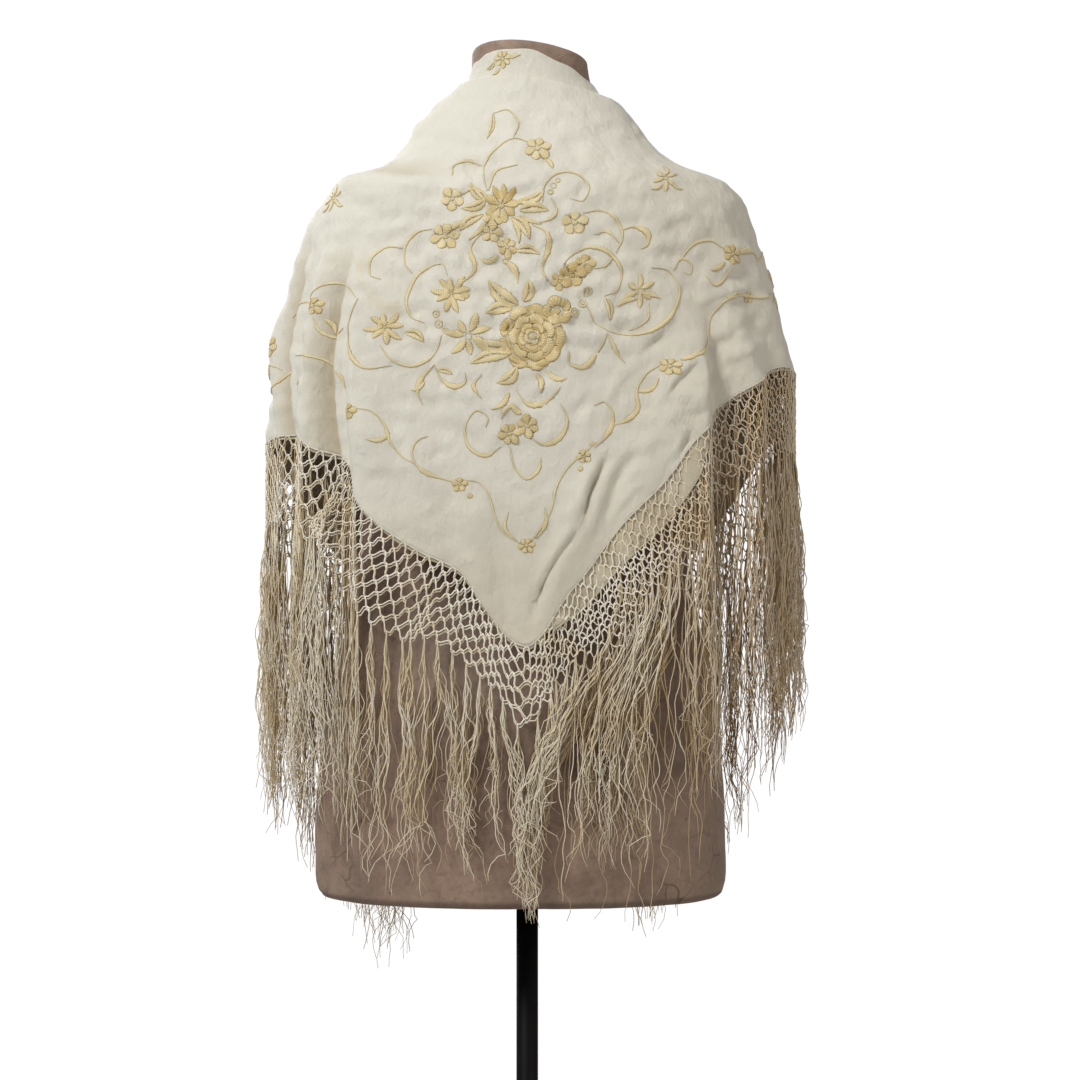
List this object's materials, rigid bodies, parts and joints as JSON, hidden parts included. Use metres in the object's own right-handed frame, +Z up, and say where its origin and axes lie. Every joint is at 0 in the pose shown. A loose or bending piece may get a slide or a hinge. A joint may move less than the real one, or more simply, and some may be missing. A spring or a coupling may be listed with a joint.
{
  "type": "manila shawl on a dress form",
  "caption": "Embroidered silk shawl with a knotted fringe, folded corner to corner and draped over a limbless dress form on a pole stand.",
  "frame": {"origin": "on the floor, at the centre of the round foot's underside", "axes": "+Z up; -Y towards the viewer of the shawl's back, where its point hangs; +X to that viewer's right"},
  "size_m": [0.5014, 0.36, 1.4231],
  "materials": {
    "silk": "ivory silk crepe, soft sheen, embroidered in cream gold silk",
    "net": "knotted cream silk thread",
    "fringe": "loose cream silk thread, kinked",
    "papier_mache": "aged brown papier-mache, mottled, matt",
    "black_steel": "black satin paint"
  },
  "bodies": {
    "root": {"shawl_back_fall": "silk", "shawl_left_side": "silk", "shawl_right_side": "silk", "shawl_left_end": "silk", "shawl_right_end": "silk", "shawl_under_fall": "silk", "shawl_neck_fold": "silk", "net_outer_left": "net", "net_outer_right": "net", "net_under_left": "net", "net_under_right": "net", "fringe_outer_left": "fringe", "fringe_outer_right": "fringe", "fringe_under_left": "fringe", "fringe_under_right": "fringe", "form_torso": "papier_mache", "stand_foot": "black_steel", "stand_socket": "black_steel", "stand_pole": "black_steel", "stand_plate": "black_steel"}
  },
  "joints": []
}
